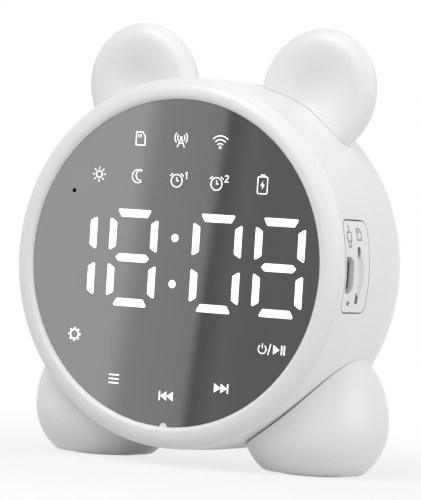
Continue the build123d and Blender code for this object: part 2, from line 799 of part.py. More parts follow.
def speaker_surround():
    """A half-round rubber roll between the cone's edge and the frame."""
    inner, outer = CONE_R + 0.3, BASKET_BORE - 0.1
    middle, roll = (inner + outer) / 2, (outer - inner) / 2
    base = SPEAKER_FLANGE_FRONT + SPEAKER_FLANGE_T
    over = CenterArc((middle, base), roll, 180, -180)
    under = CenterArc((middle, base), roll - ROLL_SKIN, 0, 180)
    ring = turned(over + Line(over @ 1, under @ 0) + under + Line(under @ 1, over @ 0))
    return ring + tube(outer + ROLL_LIP, outer - ROLL_SKIN / 2, base, base + ROLL_SKIN)


def speaker_spider():
    """A corrugated cloth disc between the voice coil and the frame's foot."""
    start = BASKET_FOOT_DEPTH + BASKET_WALL
    inner, outer = COIL_R[1] + 0.35, BASKET_FOOT_R - BASKET_WALL - 0.1
    bends = 2 * SPIDER_WAVES
    step = (outer - inner) / bends
    crest = [(inner + n * step, start + SPIDER_LEVELS[n % 2]) for n in range(bends + 1)]
    floor = [(r, d - SPIDER_T) for r, d in reversed(crest)]
    skirt_wall, skirt_height = SPIDER_SKIRT
    skirt = tube(outer, outer - skirt_wall, start, start + skirt_height)
    return turned(Polyline(*crest, *floor, close=True)) + skirt


def speaker_gasket():
    panel_inner = REAR_ROUND_START + REAR_ROUND - GRILLE_RECESS - GRILLE_T
    start = SPEAKER_FLANGE_FRONT + SPEAKER_FLANGE_T + ROLL_SKIN
    return tube(GASKET_R[1], GASKET_R[0], start, panel_inner)


def speaker_terminals():
    thick = TERMINAL_STRIP[1]
    return place(0, SPEAKER_FLANGE_FRONT - thick / 2, TERMINAL_Z) * Box(*TERMINAL_STRIP)


# Ears and feet
def ear():
    """The right ear: a rounded oval with a dished front face, cut to sit on the barrel."""
    rim_r, rim_d = EAR_RIM
    hollow_d = rim_d + EAR_DISH
    bend = (rim_r**2 + EAR_DISH**2) / (4 * EAR_DISH)
    turn = degrees(asin(rim_r / 2 / bend))
    dish = CenterArc((0, hollow_d - bend), bend, 90, -turn)
    lip = CenterArc((rim_r, rim_d + bend), bend, 270 - turn, turn)
    front = EllipticalCenterArc((rim_r, 0), EAR_R - rim_r, -rim_d, 270, arc_size=90)
    rear = EllipticalCenterArc((0, 0), EAR_R, EAR_BACK, 0, arc_size=90)
    outline = dish + lip + front + rear + Line((0, EAR_BACK), (0, hollow_d))
    disc = scale(revolve(make_face(outline), Axis.Y), by=(1, 1, EAR_STRETCH))
    angle = 90 - EAR_ANGLE
    leaning = around(EAR_PLACE_R, angle, EAR_DEPTH) * Rot(0, EAR_ANGLE, 0) * disc
    return seated(leaning, angle, EAR_DEPTH)


def seated(limb, angle, depth):
    """Cuts a limb to the barrel and drills it for its two screws."""
    limb -= rod(BARREL_R + SEAT_GAP, -5, 45)
    for turn in (-LIMB_SCREW_SPREAD, LIMB_SCREW_SPREAD):
        pilot = Cylinder(CASE_SCREW[2] + PILOT_GAP, 2 * LIMB_SCREW_LENGTH)
        limb -= facing_in(angle + turn, depth, SHELL_BORE) * pilot
    return limb


def limb_angles():
    ears = [(90 - side * EAR_ANGLE, EAR_DEPTH) for side in (-1, 1)]
    feet = [(270 + side * FOOT_SCREW_ANGLE, FOOT_DEPTH) for side in (-1, 1)]
    return ears, feet


def screw_pairs(limbs):
    turns = (-LIMB_SCREW_SPREAD, LIMB_SCREW_SPREAD)
    return [(angle + turn, depth) for angle, depth in limbs for turn in turns]


def limb_screws():
    ears, feet = limb_angles()
    return screw_pairs(ears + feet)


def foot():
    """The right foot: egg-shaped, cut flat underneath and hollowed to the barrel."""
    base = PAD_PROUD
    low = degrees(asin((base - FOOT_MID_Z) / FOOT_DOWN))
    lower = EllipticalCenterArc((0, FOOT_MID_Z), FOOT_R, FOOT_DOWN, low, arc_size=-low)
    upper = EllipticalCenterArc((0, FOOT_MID_Z), FOOT_R, FOOT_UP, 0, arc_size=90)
    rest = Polyline((0, FOOT_MID_Z + FOOT_UP), (0, base), lower @ 0)
    outline = lower + upper + rest
    egg = revolve(Plane.XZ * make_face(outline), Axis.Z)
    circles = egg.edges().filter_by(GeomType.CIRCLE)
    egg = fillet(circles.sort_by(Axis.Z)[0], FOOT_EDGE)
    egg = Pos(FOOT_X, FACE_Y + FOOT_DEPTH, 0) * egg
    egg -= Pos(FOOT_X, FACE_Y + FOOT_DEPTH, PAD_T / 2) * Cylinder(PAD_R + FIT, PAD_T)
    return seated(egg, 270 + FOOT_SCREW_ANGLE, FOOT_DEPTH)


def foot_pad(side):
    return Pos(side * FOOT_X, FACE_Y + FOOT_DEPTH, PAD_T / 2) * Cylinder(PAD_R, PAD_T)


# Battery and wires
def battery_cell():
    thick = CELL_SIZE[1]
    start = BOARD_BACK + PAD_SIZE[1]
    cell = place(0, start + thick / 2, CELL_Z) * Box(*CELL_SIZE)
    return fillet(cell.edges().filter_by(Axis.Z), thick * 0.4)


def battery_pad():
    return place(0, BOARD_BACK + PAD_SIZE[1] / 2, CELL_Z) * Box(*PAD_SIZE)


def battery_leads():
    mid = BOARD_BACK + PAD_SIZE[1] + CELL_SIZE[1] / 2
    low = BOARD_BACK + 2.3
    end_z = CELL_Z - CELL_SIZE[2] / 2
    routes = []
    for x in LEAD_X:
        cell_side = [(x + 3, mid, end_z), (x + 3, mid, end_z - 4)]
        routes.append(cell_side + [(x, low, end_z - 7), (x, low, -6.0)])
    return joined(wire(r, bend=1.2) for r in routes)


def speaker_leads():
    runs = []
    for x in (-2.0, 2.0):
        start = [(x + 11, BOARD_BACK, -9.0), (x + 11, 16.0, -9.0)]
        end_depth = SPEAKER_FLANGE_FRONT - TERMINAL_STRIP[1]
        runs.append(start + [(x, 22.0, TERMINAL_Z), (x, end_depth, TERMINAL_Z)])
    return joined(wire(r) for r in runs)


def antenna_wire():
    x, z = ANTENNA_FOOT
    route = [(x, BOARD_BACK, z), (x, ANTENNA_DEPTH - 4, z)]
    route += [(walk_x, ANTENNA_DEPTH, walk_z) for walk_x, walk_z in ANTENNA_WALK]
    return wire(route, ANTENNA_R, ANTENNA_BEND)


# Fasteners
def limb_screw_group(limbs):
    one = screw(CASE_SCREW, LIMB_SCREW_LENGTH)
    return joined(facing_in(a, d, SHELL_BORE - 0.1) * one for a, d in screw_pairs(limbs))


def ear_screws():
    return limb_screw_group(limb_angles()[0])


def foot_screws():
    return limb_screw_group(limb_angles()[1])


def rear_screws():
    spots = [rear_spot(angle) for angle in REAR_SCREW_ANGLES]
    one = screw(CASE_SCREW, REAR_SCREW_LENGTH)
    return joined(facing_back(x, REAR_SEAT_DEPTH, z) * one for x, z in spots)


def diagonal_screws(radius, depth, to_back):
    turn = Rot(-90, 0, 0) if to_back else Rot(90, 0, 0)
    one = turn * screw(SMALL_SCREW, SMALL_SCREW_LENGTH)
    return joined(around(radius, a, depth) * one for a in POST_ANGLES)


def board_screws():
    return diagonal_screws(POST_PLACE_R, BOARD_BACK, True)


def speaker_screws():
    return diagonal_screws(SPEAKER_SCREW_R, SPEAKER_FLANGE_FRONT, False)


PIECES = {
    "front_bezel": front_bezel,
    "mirror_lens": mirror_lens,
    "display_mask": display_mask,
    "touch_film": touch_film,
    "reflector_block": reflector_block,
    "lit_segments": lit_segments,
    "dark_segments": dark_segments,
    "colon_diffusers": lambda: diffusers(colon_dots()),
    "legend_diffusers": legend_diffusers,
    "led_chips": led_chips,
    "microphone": microphone,
    "main_board": main_board,
    "processor_chip": lambda: chip_with_legs(PROCESSOR, 8),
    "amplifier_chip": lambda: chip_with_legs(AMPLIFIER, 4),
    "radio_module": radio_module,
    "buffer_capacitor": buffer_capacitor,
    "crystal": crystal,
    "usb_socket": usb_socket,
    "usb_tongue": usb_tongue,
    "card_socket": card_socket,
    "charge_led": charge_led,
    "charge_light_pipe": charge_light_pipe,
    "battery_socket": battery_socket,
    "battery_cell": battery_cell,
    "battery_pad": battery_pad,
    "battery_leads": battery_leads,
    "speaker_leads": speaker_leads,
    "antenna_wire": antenna_wire,
    "body_shell": body_shell,
    "port_plate": port_plate,
    "rear_cover": rear_cover,
    "speaker_frame": speaker_frame,
    "speaker_top_plate": speaker_top_plate,
    "speaker_magnet": speaker_magnet,
    "speaker_yoke": speaker_yoke,
    "voice_coil": voice_coil,
    "speaker_cone": speaker_cone,
    "dust_cap": dust_cap,
    "speaker_surround": speaker_surround,
    "speaker_spider": speaker_spider,
    "speaker_gasket": speaker_gasket,
    "speaker_terminals": speaker_terminals,
    "left_ear": lambda: mirror(ear(), Plane.YZ),
    "right_ear": ear,
    "left_foot": lambda: mirror(foot(), Plane.YZ),
    "right_foot": foot,
    "left_foot_pad": lambda: foot_pad(-1),
    "right_foot_pad": lambda: foot_pad(1),
    "ear_screws": ear_screws,
    "foot_screws": foot_screws,
    "rear_screws": rear_screws,
    "board_screws": board_screws,
    "speaker_screws": speaker_screws,
}

os.makedirs("parts", exist_ok=True)
for name, make in PIECES.items():
    export_step(make(), f"parts/{name}.step")
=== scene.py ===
import json
import math

import bmesh
import bpy
from mathutils import Matrix, Vector
from mathutils.bvhtree import BVHTree


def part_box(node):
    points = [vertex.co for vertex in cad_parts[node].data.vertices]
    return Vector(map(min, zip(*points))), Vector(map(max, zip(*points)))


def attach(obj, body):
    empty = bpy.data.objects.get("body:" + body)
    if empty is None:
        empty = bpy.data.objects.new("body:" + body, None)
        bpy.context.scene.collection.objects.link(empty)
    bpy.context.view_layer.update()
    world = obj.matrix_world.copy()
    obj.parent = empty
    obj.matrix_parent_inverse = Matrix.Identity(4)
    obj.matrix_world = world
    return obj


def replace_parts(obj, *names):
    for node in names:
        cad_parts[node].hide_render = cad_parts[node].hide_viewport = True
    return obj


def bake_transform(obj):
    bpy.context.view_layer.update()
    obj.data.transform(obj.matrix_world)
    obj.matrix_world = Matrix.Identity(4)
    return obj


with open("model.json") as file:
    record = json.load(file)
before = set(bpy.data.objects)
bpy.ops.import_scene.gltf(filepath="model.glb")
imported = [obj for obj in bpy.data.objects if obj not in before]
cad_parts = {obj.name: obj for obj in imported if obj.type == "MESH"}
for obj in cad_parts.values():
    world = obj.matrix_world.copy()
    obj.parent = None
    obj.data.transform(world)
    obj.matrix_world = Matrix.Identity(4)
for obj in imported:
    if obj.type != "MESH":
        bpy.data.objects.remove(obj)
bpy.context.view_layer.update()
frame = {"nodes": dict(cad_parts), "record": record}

# The object's sizes are in millimetres and become metres when placed. The stage is in metres.
MM = 0.001
CASE = "case"
board_low, board_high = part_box("main_board")
FACE_MIDDLE = Vector((0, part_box("mirror_lens")[0].y, (board_low.z + board_high.z) / 2))

# Digits
DIGIT_X = (-26.45, -10.7, 10.7, 26.45)
DIGIT_Z = 0.5
STROKE = 1.78
STROKE_X = 5.32
STROKE_TOP = 10.03
STROKE_LOW = 1.36
STROKE_HIGH = 8.94
BAR_LONG = 8.86
BAR_TIP = 8.75
MITRE = 1.05
STROKE_ROUND = (0.7, 0.3)
COLON_Z = (5.6, -4.7)
COLON_R = 0.9
MARK_PROUD = 0.03
MARK_SUNK = 0.02

# Camera, as the photograph was taken
CAMERA_AZIMUTH = 29.32
CAMERA_RISE = 0.82
CAMERA_ROLL = 3.62
CAMERA_DISTANCE = 0.735
PHOTO_SIZE = (421, 500)
FOCAL_PIXELS = 3295.0
FACE_MIDDLE_PIXEL = (173.4, 263.1)
SENSOR_MM = 36.0


# Shader building
class Wire:
    """An output socket in a node tree. Its operators add Math nodes."""

    def __init__(self, tree, socket):
        self.tree = tree
        self.socket = socket

    def node(self, kind, settings=None, inputs=None, output=0):
        """Adds a node of a kind, sets it up, fills or links its sockets and gives one of its outputs."""
        made = self.tree.nodes.new(kind)
        for key, value in (settings or {}).items():
            if key == "stops":
                ramp = made.color_ramp.elements
                ramp[0].color, ramp[1].color = value[0][1], value[-1][1]
                for place, tone in value[1:-1]:
                    ramp.new(place).color = tone
            else:
                setattr(made, key, value)
        for key, value in (inputs or {}).items():
            if isinstance(value, Wire):
                self.tree.links.new(value.socket, made.inputs[key])
            else:
                made.inputs[key].default_value = value
        return Wire(self.tree, made.outputs[output])

    def math(self, operation, first, second):
        return self.node("ShaderNodeMath", {"operation": operation}, {0: first, 1: second})

    def __add__(self, other):
        return self.math("ADD", self, other)

    __radd__ = __add__

    def __sub__(self, other):
        return self.math("SUBTRACT", self, other)

    def __rsub__(self, other):
        return self.math("SUBTRACT", other, self)

    def __mul__(self, other):
        return self.math("MULTIPLY", self, other)

    __rmul__ = __mul__

    def __gt__(self, other):
        return self.math("GREATER_THAN", self, other)

    def noise(self, scale, detail=2.0, roughness=0.5):
        inputs = {"Vector": self, "Scale": scale, "Detail": detail, "Roughness": roughness}
        return self.node("ShaderNodeTexNoise", None, inputs)

    def between(self, low, high, to_low=0.0, to_high=1.0):
        """Maps a value from one span to another, held at the ends."""
        inputs = {"Value": self, "From Min": low, "From Max": high, "To Min": to_low, "To Max": to_high}
        return self.node("ShaderNodeMapRange", {"clamp": True}, inputs)

    def blend(self, first, second):
        """Two colours mixed by this value."""
        settings = {"data_type": "RGBA"}
        return self.node("ShaderNodeMix", settings, {0: self, 6: first, 7: second}, 2)


def grey(level, warm=0.0):
    return (level, level, level * (1.0 - warm), 1.0)


def colour(red, green, blue):
    return (red, green, blue, 1.0)


def new_material(name):
    """A material with one Principled shader. Gives it, its shader and its Object coordinates."""
    material = bpy.data.materials.new(name)
    material.use_nodes = True
    tree = material.node_tree
    shader = tree.nodes["Principled BSDF"]
    place = tree.nodes.new("ShaderNodeTexCoord").outputs["Object"]
    return material, shader, Wire(tree, place)


def feed(shader, socket, wire):
    wire.tree.links.new(wire.socket, shader.inputs[socket])


def roughen(shader, height, strength, distance):
    inputs = {"Height": height, "Strength": strength, "Distance": distance}
    feed(shader, "Normal", height.node("ShaderNodeBump", None, inputs))


# Finishes
def white_plastic():
    """Glossy white moulding with faint flow marks and a very fine orange peel."""
    material, shader, place = new_material("white_plastic")
    flow = place.noise(38.0, 3.0)
    feed(shader, "Base Color", flow.blend(grey(0.9), grey(0.875, 0.006)))
    feed(shader, "Roughness", place.noise(120.0).between(0.3, 0.7, 0.3, 0.4))
    roughen(shader, place.noise(1400.0, 1.0), 0.04, 0.0001)
    shader.inputs["Coat Weight"].default_value = 0.15
    shader.inputs["Coat Roughness"].default_value = 0.2
    return material


def mirror_glass():
    """Half-silvered window: a grey mirror with faint wiping marks."""
    material, shader, place = new_material("mirror_glass")
    silver = place.noise(30.0).blend(colour(0.47, 0.475, 0.455), colour(0.5, 0.505, 0.485))
    feed(shader, "Base Color", silver)
    feed(shader, "Roughness", place.noise(90.0, 4.0).between(0.35, 0.7, 0.02, 0.04))
    shader.inputs["Metallic"].default_value = 1.0
    return material


def lit_white():
    """White light through a milky diffuser, very slightly uneven."""
    material, shader, place = new_material("lit_white")
    glow = place.noise(260.0, 1.0)
    feed(shader, "Base Color", glow.blend(grey(0.9), grey(1.0)))
    feed(shader, "Emission Color", glow.blend(grey(0.97), grey(1.0)))
    shader.inputs["Emission Strength"].default_value = 1.0
    shader.inputs["Roughness"].default_value = 0.4
    return material


def print_ink():
    """Grey pad print on the port plate."""
    material, shader, place = new_material("print_ink")
    feed(shader, "Base Color", place.noise(900.0).blend(grey(0.2), grey(0.26)))
    feed(shader, "Roughness", place.noise(500.0).between(0.3, 0.7, 0.4, 0.55))
    return material


def two_tone(name, first, second, scale, rough, metallic=0.0, grain=0.0, stretch=None):
    """A finish with two close tones in a cloudy, grained or brushed pattern."""
    material, shader, place = new_material(name)
    if stretch:
        place = place.node("ShaderNodeMapping", None, {"Vector": place, "Scale": stretch})
    cloud = place.noise(scale, 3.0)
    feed(shader, "Base Color", cloud.between(0.35, 0.65).blend(first, second))
    feed(shader, "Roughness", cloud.between(0.3, 0.7, rough - 0.06, rough + 0.06))
    shader.inputs["Metallic"].default_value = metallic
    if grain:
        roughen(shader, place.noise(scale * 3.0), grain, 0.0002)
    return material


def circuit_board():
    """Green solder mask over pale copper lines."""
    material, shader, place = new_material("circuit_board")
    settings = {"feature": "DISTANCE_TO_EDGE"}
    edge = place.node("ShaderNodeTexVoronoi", settings, {"Vector": place, "Scale": 420.0})
    feed(shader, "Base Color", (edge > 0.06).blend(colour(0.06, 0.3, 0.12), colour(0.02, 0.16, 0.07)))
    feed(shader, "Roughness", place.noise(200.0).between(0.3, 0.7, 0.3, 0.45))
    return material


BRUSH = (1.0, 14.0, 1.0)
FINISHES = {
    "white_gloss": white_plastic(),
    "mirror_face": mirror_glass(),
    "lit_white": lit_white(),
    "board_green": circuit_board(),
    "black_mask": two_tone("mask_film", grey(0.015), grey(0.025), 300.0, 0.5),
    "clear_film": two_tone("sensor_film", colour(0.6, 0.48, 0.26), colour(0.7, 0.6, 0.4), 200.0, 0.3),
    "reflector_white": two_tone("reflector_white", grey(0.82), grey(0.88), 150.0, 0.6, grain=0.05),
    "unlit_milk": two_tone("unlit_milk", grey(0.5), grey(0.58), 220.0, 0.4),
    "led_cream": two_tone("led_cream", colour(0.9, 0.8, 0.4), colour(0.95, 0.88, 0.55), 900.0, 0.35),
    "clear_pipe": two_tone("smoked_pipe", grey(0.1), grey(0.14), 600.0, 0.2),
    "chip_black": two_tone("chip_resin", grey(0.02), grey(0.035), 500.0, 0.55, grain=0.1),
    "can_metal": two_tone("can_metal", grey(0.68), grey(0.78), 300.0, 0.35, 1.0, stretch=BRUSH),
    "socket_steel": two_tone("socket_steel", grey(0.55), grey(0.68), 400.0, 0.32, 1.0, stretch=BRUSH),
    "plug_white": two_tone("plug_nylon", colour(0.82, 0.8, 0.7), colour(0.88, 0.86, 0.78), 300.0, 0.5),
    "cell_silver": two_tone("cell_pouch", grey(0.6), grey(0.72), 80.0, 0.4, 1.0, grain=0.15),
    "foam_black": two_tone("foam_black", grey(0.02), grey(0.05), 1500.0, 0.9, grain=0.6),
    "wire_red": two_tone("wire_red", colour(0.5, 0.03, 0.03), colour(0.62, 0.05, 0.04), 400.0, 0.45),
    "wire_black": two_tone("wire_black", grey(0.02), grey(0.04), 400.0, 0.45),
    "speaker_steel": two_tone("speaker_steel", grey(0.35), grey(0.48), 220.0, 0.4, 1.0, stretch=BRUSH),
    "ferrite": two_tone("ferrite", grey(0.06), grey(0.1), 600.0, 0.7, grain=0.3),
    "coil_copper": two_tone("coil_copper", colour(0.6, 0.26, 0.1), colour(0.75, 0.36, 0.16), 900.0, 0.3, 1.0),
    "cone_black": two_tone("cone_paper", grey(0.03), grey(0.06), 700.0, 0.85, grain=0.4),
    "roll_rubber": two_tone("roll_rubber", grey(0.02), grey(0.04), 300.0, 0.6),
    "spider_cloth": two_tone(
        "spider_cloth", colour(0.45, 0.32, 0.14), colour(0.6, 0.46, 0.24), 1200.0, 0.9, grain=0.5
    ),
    "terminal_board": two_tone(
        "terminal_strip", colour(0.36, 0.22, 0.1), colour(0.46, 0.3, 0.15), 300.0, 0.6
    ),
    "pad_grey": two_tone("pad_rubber", grey(0.4), grey(0.48), 500.0, 0.8, grain=0.2),
    "screw_steel": two_tone("screw_steel", grey(0.45), grey(0.58), 500.0, 0.3, 1.0),
}
INK = print_ink()
# Painted shade: a dark grey for the sheet that stands for the shade inside the card slot.
SLOT_PAINTED_SHADE = two_tone("slot_painted_shade", grey(0.4), grey(0.48), 500.0, 0.6)


# Parting planes of the case: depth behind the mirror's face, outer radius, and the side that the piece is on
FRONT_SEAM = (0.9, 41.136)
REAR_SEAM = (33.4, 39.956)
GROOVE_HALF = 0.2
GROOVE_DEEP = 0.18
SEAMS = {
    "front_bezel": ((*FRONT_SEAM, -1),),
    "body_shell": ((*FRONT_SEAM, 1), (*REAR_SEAM, -1)),
    "rear_cover": ((*REAR_SEAM, 1),),
}


# Mesh building, with distances for welding and for finding points in metres
WELD = 1e-7
ON_PLANE = 1e-6
ON_RIM = 1e-4
HARD_EDGE = 32.0


def new_object(name, mesh, slot, finish=None):
    """An object with its slot's finish, or another. It has yet to ride on a body or bend between two."""
    piece = bpy.data.objects.new(name, mesh)
    bpy.context.scene.collection.objects.link(piece)
    mesh.materials.clear()
    mesh.materials.append(finish or FINISHES[slot])
    return piece


def case_piece(name, mesh, slot, finish=None):
    piece = new_object(name, mesh, slot, finish)
    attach(piece, CASE)
    return piece


def outward(angle):
    """The direction away from the barrel's axis at an angle from its right side."""
    return Vector((math.cos(angle), 0, math.sin(angle)))


def finished(build, name):
    """Turns a bmesh into a mesh whose faces point outwards."""
    bmesh.ops.recalc_face_normals(build, faces=build.faces)
    mesh = bpy.data.meshes.new(name)
    build.to_mesh(mesh)
    build.free()
    return mesh


def smoothed(mesh, angle=HARD_EDGE):
    """Shades a mesh smooth, with hard edges where faces meet at more than the angle."""
    build = bmesh.new()
    build.from_mesh(mesh)
    bmesh.ops.remove_doubles(build, verts=build.verts, dist=WELD)
    limit = math.radians(angle)
    for edge in build.edges:
        edge.smooth = len(edge.link_faces) == 2 and edge.calc_face_angle(0.0) < limit
    for face in build.faces:
        face.smooth = True
    build.to_mesh(mesh)
    build.free()
    return mesh


def eased_seams(mesh, seams):
    """Breaks a turned case half's outer edge at each parting plane, which leaves a fine groove there."""
    build = bmesh.new()
    build.from_mesh(mesh)
    bmesh.ops.remove_doubles(build, verts=build.verts, dist=WELD)
    for depth, radius, way in seams:
        seam_y = FACE_MIDDLE.y + depth * MM
        cut = Vector((0, seam_y + way * GROOVE_HALF * MM, 0))
        whole = build.verts[:] + build.edges[:] + build.faces[:]
        bmesh.ops.bisect_plane(build, geom=whole, dist=WELD, plane_co=cut, plane_no=(0, 1, 0))
        for vert in build.verts:
            arm = Vector((vert.co.x, 0, vert.co.z - FACE_MIDDLE.z))
            if abs(vert.co.y - seam_y) < ON_PLANE and abs(arm.length - radius * MM) < ON_RIM:
                vert.co -= arm.normalized() * GROOVE_DEEP * MM
    build.to_mesh(mesh)
    build.free()
    return mesh


def dressed_copy(node, slot):
    """A welded, smooth copy of a CAD node that stands for it."""
    mesh = eased_seams(frame["nodes"][node].data.copy(), SEAMS.get(node, ()))
    piece = case_piece(node + "_skin", smoothed(mesh), slot)
    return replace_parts(piece, node)


# Flat marks: lists of outlines in millimetres, each a closed run of points
def rounded(points, radii, steps=4):
    """An outline with each corner cut back by its radius and rounded by an arc-like curve."""
    done = []
    count = len(points)
    for n, corner in enumerate(points):
        corner = Vector(corner)
        before = Vector(points[n - 1]) - corner
        after = Vector(points[(n + 1) % count]) - corner
        start = corner + before.normalized() * radii[n % len(radii)]
        end = corner + after.normalized() * radii[n % len(radii)]
        for k in range(steps + 1):
            t = k / steps
            done.append(start * (1 - t) ** 2 + corner * 2 * t * (1 - t) + end * t**2)
    return done


def disc(x, z, radius, steps=20):
    turns = [math.tau * n / steps for n in range(steps)]
    return [Vector((x + radius * math.cos(a), z + radius * math.sin(a))) for a in turns]


def sides(points, width, closed=False):
    """The two edges of a band of even width along a run of points."""
    points = [Vector(p) for p in points]
    count = len(points)
    left, right = [], []
    for n, point in enumerate(points):
        back = point - points[n - 1] if closed or n else points[1] - point
        ahead = points[(n + 1) % count] - point if closed or n < count - 1 else back
        across = (back.normalized() + ahead.normalized()).normalized()
        across = Vector((-across.y, across.x)) * width / 2
        spread = max(0.5, across.normalized().dot(Vector((-ahead.y, ahead.x)).normalized()))
        left.append(point + across / spread)
        right.append(point - across / spread)
    return left, right


def line(points, width, closed=False):
    """A band of even width along a run of points, as a list of outlines."""
    left, right = sides(points, width, closed)
    count = len(left)
    spans = count if closed else count - 1
    quads = []
    for n in range(spans):
        m = (n + 1) % count
        quads.append([left[n], right[n], right[m], left[m]])
    return quads


def arc(x, z, radius, start, size, steps=16):
    turns = [math.radians(start + size * n / steps) for n in range(steps + 1)]
    return [(x + radius * math.cos(a), z + radius * math.sin(a)) for a in turns]


def ring(x, z, radius, width, steps=24):
    return line(arc(x, z, radius, 0, 360, steps)[:-1], width, closed=True)


def moved(outlines, x, z, scale=1.0):
    shift = Vector((x, z))
    return [[Vector(p) * scale + shift for p in outline] for outline in outlines]


def marks_mesh(name, outlines, spot):
    """A thin raised mesh from outlines, placed by spot(x, z, lift) on a surface."""
    build = bmesh.new()
    for outline in outlines:
        top = [build.verts.new(spot(p[0], p[1], MARK_PROUD)) for p in outline]
        low = [build.verts.new(spot(p[0], p[1], -MARK_SUNK)) for p in outline]
        build.faces.new(top)
        build.faces.new(low[::-1])
        for n in range(len(top)):
            m = (n + 1) % len(top)
            build.faces.new([top[n], low[n], low[m], top[m]])
    return finished(build, name)


def on_face(x, z, lift):
    return FACE_MIDDLE + Vector((x, -lift, z)) * MM


# Lit digits
def stroke(kind):
    half = STROKE / 2
    outer, inner = STROKE_ROUND
    radii = (outer, outer, inner, inner)
    if kind == "middle":
        radii = (inner,)
        tip, flat = BAR_TIP / 2, BAR_TIP / 2 - half
        points = [(-tip, 0), (-flat, half), (flat, half), (tip, 0), (flat, -half), (-flat, -half)]
    elif kind in ("top", "bottom"):
        way = 1 if kind == "top" else -1
        long, short = BAR_LONG / 2, BAR_LONG / 2 - MITRE
        z_out, z_in = way * (STROKE_TOP + half), way * (STROKE_TOP - half)
        points = [(-long, z_out), (long, z_out), (short, z_in), (-short, z_in)]
    else:
        way = 1 if "right" in kind else -1
        rise = 1 if "upper" in kind else -1
        x_out, x_in = way * (STROKE_X + half), way * (STROKE_X - half)
        low, high = rise * STROKE_LOW, rise * STROKE_HIGH
        points = [(x_out, low), (x_out, high)]
        points += [(x_in, high - rise * MITRE), (x_in, low + rise * MITRE)]
    return rounded(points, radii)


STROKES = ("top", "upper_right", "lower_right", "bottom", "lower_left", "upper_left", "middle")
LIT = (STROKES[1:3], STROKES, STROKES[:-1], STROKES)


def digit_marks():
    outlines = [disc(0, z, COLON_R) for z in COLON_Z]
    for x, kinds in zip(DIGIT_X, LIT):
        outlines += moved([stroke(kind) for kind in kinds], x, DIGIT_Z)
    return outlines


# Lit signs, each drawn about its own middle
THIN = 0.17
BOLD = 0.26
BAR = 0.24
TOOTH = 0.34
SIGN_SCALE = 1.22


def spokes(inner, outer, width, count=8):
    """Short bars that point away from the middle."""
    bars = []
    for n in range(count):
        a = math.tau * n / count
        way = Vector((math.cos(a), math.sin(a)))
        bars += line([way * inner, way * outer], width)
    return bars


def memory_card(width=THIN):
    edge = [(-0.95, -1.2), (0.95, -1.2), (0.95, 0.4), (0.35, 1.2), (-0.95, 1.2)]
    contacts = [line([(x, 0.2), (x, 0.8)], width) for x in (-0.5, 0.0)]
    return line(edge, width, closed=True) + sum(contacts, [])


def radio_mast():
    mast = line([(-0.75, -1.25), (0, 0.45), (0.75, -1.25)], THIN)
    mast += line([(-0.42, -0.5), (0.42, -0.5)], THIN)
    waves = []
    for radius in (0.75, 1.3):
        waves += line(arc(0, 0.5, radius, -42, 84), THIN) + line(arc(0, 0.5, radius, 138, 84), THIN)
    return mast + waves + [disc(0, 0.5, 0.26)]


def sound_waves():
    """A dot with three arcs above it."""
    arcs = []
    for radius in (0.8, 1.5, 2.2):
        arcs += line(arc(0, -1.0, radius, 45, 90), THIN)
    return arcs + [disc(0, -0.9, 0.3)]


def sun():
    return ring(0, 0, 0.62, THIN) + spokes(0.95, 1.4, THIN)


def moon():
    outer = arc(0, 0, 1.2, 55, 250, 20)
    inner = arc(0.55, 0.2, 0.95, 285, -218, 20)
    return line(outer + inner[1:-1], THIN, closed=True)


def alarm(number):
    """A small alarm clock with a plain number beside it."""
    face = ring(0, -0.1, 1.15, THIN) + line([(0, 0.55), (0, -0.1), (0.45, -0.1)], THIN)
    bells = line([(-1.4, 0.75), (-0.85, 1.25)], THIN) + line([(0.85, 1.25), (1.4, 0.75)], THIN)
    if number == 1:
        sign = line([(1.75, 1.25), (2.05, 1.5), (2.05, 0.3)], THIN)
    else:
        hook = arc(2.05, 1.2, 0.33, 170, -200, 10)
        sign = line(hook + [(1.68, 0.35), (2.45, 0.35)], THIN)
    return face + bells + sign


def battery():
    shell = rounded([(-1.0, -1.65), (1.0, -1.65), (1.0, 1.4), (-1.0, 1.4)], (0.3,))
    cap = [(-0.45, 1.5), (0.45, 1.5), (0.45, 1.8), (-0.45, 1.8)]
    bolt = [[(0.1, 0.65), (-0.42, -0.25), (-0.02, -0.25)], [(0.02, 0.0), (0.42, 0.0), (-0.1, -0.9)]]
    return line(shell, THIN, closed=True) + [cap] + bolt


def gear():
    return ring(0, 0, 0.85, BAR) + spokes(0.92, 1.3, TOOTH)


def three_bars():
    return sum([line([(-1.05, z), (1.05, z)], BAR) for z in (-0.75, 0.0, 0.75)], [])


def skip(way):
    """Two triangles against a bar."""
    heads = [[(way * x, 0.85), (way * x, -0.85), (way * (x + 1.3), 0)] for x in (-1.45, -0.1)]
    return heads + line([(way * 1.35, -0.85), (way * 1.35, 0.85)], BOLD)


def power_and_play():
    power = line(arc(-1.95, -0.05, 0.8, 125, 290), THIN) + line([(-1.95, 0.1), (-1.95, 1.0)], THIN)
    slash = line([(-0.75, -1.0), (-0.25, 1.0)], THIN)
    play = [[(0.3, 0.85), (0.3, -0.85), (1.55, 0)]]
    pause = line([(2.0, -0.85), (2.0, 0.85)], BOLD) + line([(2.55, -0.85), (2.55, 0.85)], BOLD)
    return power + slash + play + pause


SIGNS = (
    (memory_card, -10.4, 27.4),
    (radio_mast, 0.0, 27.4),
    (sound_waves, 10.0, 27.4),
    (sun, -20.6, 18.9),
    (moon, -10.5, 18.9),
    (lambda: alarm(1), -0.5, 18.5),
    (lambda: alarm(2), 9.65, 18.3),
    (battery, 21.2, 18.6),
    (gear, -24.5, -17.6),
    (three_bars, -13.5, -26.9),
    (lambda: skip(-1), 0.2, -29.7),
    (lambda: skip(1), 14.05, -26.9),
    (power_and_play, 26.06, -17.4),
)


def sign_marks():
    outlines = []
    for draw, x, z in SIGNS:
        outlines += moved(draw(), x, z, SIGN_SCALE)
    return outlines


